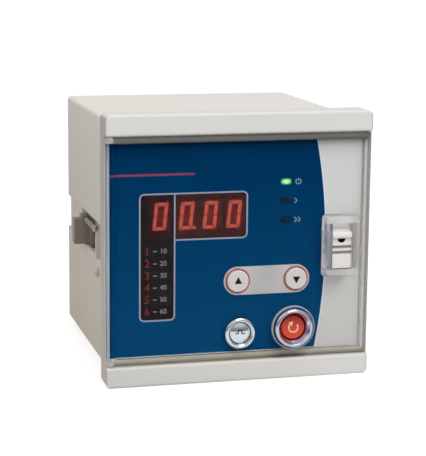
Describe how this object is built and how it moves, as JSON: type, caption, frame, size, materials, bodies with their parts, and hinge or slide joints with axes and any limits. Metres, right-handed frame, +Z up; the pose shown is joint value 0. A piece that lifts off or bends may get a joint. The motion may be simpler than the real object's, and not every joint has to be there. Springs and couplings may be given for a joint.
{
  "type": "protection relay",
  "caption": "Square panel-mounted protection relay with a clear hinged cover, digital display, push buttons, side clamps and rear screw terminals.",
  "frame": {"origin": "centre of the panel seating plane, behind the bezel flange", "axes": "+X to the right seen from the front, +Y to the rear along the case, +Z up"},
  "size_m": [0.0988, 0.1114, 0.096],
  "materials": {
    "shell": "fine moulded texture",
    "panel": "fine moulded texture",
    "film": "printed film, satin",
    "window": "tinted, smooth",
    "dark_plastic": "moulded",
    "lit_red": "glowing",
    "unlit": "smooth",
    "lit_green": "glowing",
    "pad": "satin",
    "key": "satin",
    "chrome": "polished",
    "red_cap": "gloss",
    "clear": "clear moulded plastic",
    "pale_plastic": "satin",
    "board": "solder resist",
    "steel": "zinc plated",
    "brass": "plain",
    "core": "laminated",
    "coil": "taped",
    "wrapped": "sleeved",
    "relay_blue": "moulded",
    "clamp": "dull"
  },
  "bodies": {
    "housing": {"case": "shell", "bezel": "shell", "case_screws": "steel", "front_panel": "panel", "panel_film": "film", "display_window": "window", "digit_1": "dark_plastic", "digit_2": "dark_plastic", "digit_3": "dark_plastic", "digit_4": "dark_plastic", "lit_segments": "lit_red", "dark_segments": "unlit", "supply_lamp": "lit_green", "pickup_lamp": "unlit", "trip_lamp": "unlit", "key_pad": "pad", "key_switches": "dark_plastic", "test_ring": "chrome", "test_nut": "steel", "test_switch": "dark_plastic", "reset_ring": "chrome", "reset_nut": "steel", "reset_switch": "dark_plastic", "display_board": "board", "board_standoffs": "panel", "board_screws": "steel", "power_board": "board", "relay_board": "board", "board_headers": "dark_plastic", "microcontroller": "dark_plastic", "transformer_core": "core", "transformer_coil": "coil", "current_transformer": "wrapped", "capacitors": "wrapped", "trip_relay_1": "relay_blue", "trip_relay_2": "relay_blue", "terminal_strip_top": "dark_plastic", "terminal_strip_bottom": "dark_plastic", "strip_screws": "steel", "terminal_plates": "brass", "terminal_screws": "steel"},
    "cover": {"cover": "clear"},
    "latch": {"latch": "pale_plastic"},
    "up_key": {"up_key": "key"},
    "down_key": {"down_key": "key"},
    "test_button": {"test_button": "chrome"},
    "reset_button": {"reset_button": "red_cap"},
    "clamp_left": {"clamp_left": "clamp"},
    "clamp_right": {"clamp_right": "clamp"},
    "clamp_screw_left": {"clamp_screw_left": "steel"},
    "clamp_screw_right": {"clamp_screw_right": "steel"}
  },
  "joints": [
    {"name": "cover_hinge", "type": "hinge", "parent": "housing", "child": "cover", "pos_m": [-0.0461, -0.00815, 0], "axis": [0, 0, -1], "range_deg": [0, 120]},
    {"name": "latch_slide", "type": "slide", "parent": "cover", "child": "latch", "axis": [0, 0, 1], "range_m": [0, 0.0016], "stiffness_N_per_m": 150},
    {"name": "up_key_press", "type": "slide", "parent": "housing", "child": "up_key", "axis": [0, 1, 0], "range_m": [0, 0.0006], "stiffness_N_per_m": 400},
    {"name": "down_key_press", "type": "slide", "parent": "housing", "child": "down_key", "axis": [0, 1, 0], "range_m": [0, 0.0006], "stiffness_N_per_m": 400},
    {"name": "test_press", "type": "slide", "parent": "housing", "child": "test_button", "axis": [0, 1, 0], "range_m": [0, 0.001], "stiffness_N_per_m": 400},
    {"name": "reset_press", "type": "slide", "parent": "housing", "child": "reset_button", "axis": [0, 1, 0], "range_m": [0, 0.0015], "stiffness_N_per_m": 400},
    {"name": "clamp_slide_left", "type": "slide", "parent": "housing", "child": "clamp_left", "axis": [0, -1, 0], "range_m": [-0.005, 0.0205]},
    {"name": "clamp_slide_right", "type": "slide", "parent": "housing", "child": "clamp_right", "axis": [0, -1, 0], "range_m": [-0.005, 0.0205]},
    {"name": "clamp_screw_left_advance", "type": "slide", "parent": "clamp_left", "child": "clamp_screw_left", "axis": [0, -1, 0], "range_m": [-0.004, 0.0035]},
    {"name": "clamp_screw_right_advance", "type": "slide", "parent": "clamp_right", "child": "clamp_screw_right", "axis": [0, -1, 0], "range_m": [-0.004, 0.0035]}
  ]
}
